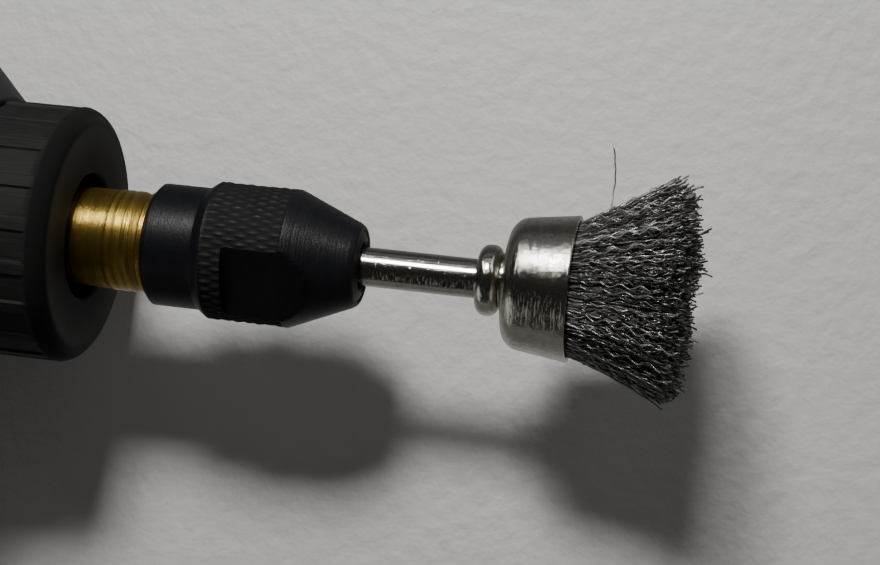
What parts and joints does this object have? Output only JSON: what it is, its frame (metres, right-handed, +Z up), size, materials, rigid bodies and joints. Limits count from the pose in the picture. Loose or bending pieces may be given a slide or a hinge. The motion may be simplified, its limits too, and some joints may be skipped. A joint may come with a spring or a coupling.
{
  "type": "electric pin vise drill",
  "caption": "Hand-held electric pin vise: round black body, ribbed nose ring, brass spindle and knurled collet nut gripping a flared steel wire cup brush.",
  "frame": {"origin": "centre of the bounding box's underside, on the surface the tool lies on; the spindle axis is 15 mm above it", "axes": "+X along the spindle from the tail towards the tip of the tool, +Z up through the slide switch, +Y to the tool's left seen from the tail"},
  "size_m": [0.14, 0.032, 0.0326],
  "materials": {
    "housing_plastic": "fine textured black ABS",
    "ring_plastic": "matt black moulded plastic, lightly worn on the ribs",
    "screw_steel": "black zinc-plated steel",
    "motor_steel": "zinc-plated steel can",
    "ferrite": "sintered ferrite, dark grey",
    "inner_plastic": "moulded nylon",
    "bush_bronze": "sintered bronze",
    "carbon": "graphite",
    "tinned_metal": "tinned brass",
    "jack_plastic": "gloss black moulding",
    "nickel_plate": "nickel plate over steel, fine scratches",
    "capacitor_ceramic": "dipped ceramic disc",
    "lead_red": "PVC insulation",
    "lead_black": "PVC insulation",
    "brass": "turned brass, tarnished in the thread",
    "black_steel": "blackened steel, brown wear on the knurl",
    "polished_steel": "ground steel",
    "lamination_steel": "varnished laminations",
    "enamelled_copper": "enamelled copper wire",
    "copper": "bare copper",
    "wire_steel": "crimped steel wire, dark with bright glints",
    "knob_plastic": "ribbed black plastic",
    "seal_rubber": "nitrile rubber"
  },
  "bodies": {
    "housing": {"shell_left": "housing_plastic", "shell_right": "housing_plastic", "shell_screws": "screw_steel", "tail_cap": "housing_plastic", "tail_screws": "screw_steel", "motor_can": "motor_steel", "motor_magnets": "ferrite", "motor_end_cap": "inner_plastic", "motor_front_bush": "bush_bronze", "motor_rear_bush": "bush_bronze", "motor_carbon_brushes": "carbon", "motor_terminals": "tinned_metal", "switch_body": "inner_plastic", "switch_lugs": "tinned_metal", "dc_jack": "jack_plastic", "jack_contacts": "tinned_metal", "jack_nut": "nickel_plate", "capacitor": "capacitor_ceramic", "lead_supply": "lead_red", "lead_motor": "lead_red", "lead_ground": "lead_black"},
    "rotor": {"brass_spindle": "brass", "spindle_grub_screws": "black_steel", "motor_shaft": "polished_steel", "armature_core": "lamination_steel", "armature_coils": "enamelled_copper", "commutator": "copper"},
    "collet": {"collet": "brass"},
    "nut": {"collet_nut": "black_steel"},
    "tool": {"brush_shank": "nickel_plate", "brush_bead": "nickel_plate", "brush_washer": "nickel_plate", "brush_cup": "nickel_plate", "brush_wires": "wire_steel"},
    "switch": {"switch_knob": "knob_plastic"},
    "seal": {"nose_o_ring": "seal_rubber"},
    "ring": {"nose_ring": "ring_plastic"}
  },
  "joints": [
    {"name": "spindle_spin", "type": "hinge", "parent": "housing", "child": "rotor", "pos_m": [0.0224, 0, 0.015], "axis": [1, 0, 0], "continuous": true},
    {"name": "nut_feed", "type": "slide", "parent": "rotor", "child": "collet", "axis": [1, 0, 0], "range_m": [0, 0.0015]},
    {"name": "nut_turn", "type": "hinge", "parent": "collet", "child": "nut", "pos_m": [0.0324, 0, 0.015], "axis": [1, 0, 0], "range_deg": [0, 720]},
    {"name": "tool_pull", "type": "slide", "parent": "collet", "child": "tool", "axis": [1, 0, 0], "range_m": [0, 0.0155]},
    {"name": "switch_slide", "type": "slide", "parent": "housing", "child": "switch", "axis": [1, 0, 0], "range_m": [0, 0.005]},
    {"name": "ring_feed", "type": "slide", "parent": "housing", "child": "seal", "axis": [1, 0, 0], "range_m": [0, 0.004]},
    {"name": "ring_turn", "type": "hinge", "parent": "seal", "child": "ring", "pos_m": [0.0194, 0, 0.015], "axis": [1, 0, 0], "range_deg": [0, 1440]}
  ],
  "couplings": [
    {"joint": "nut_turn", "follows": "nut_feed", "rad_per_m": 8377.6},
    {"joint": "ring_turn", "follows": "ring_feed", "rad_per_m": 6283.2}
  ]
}
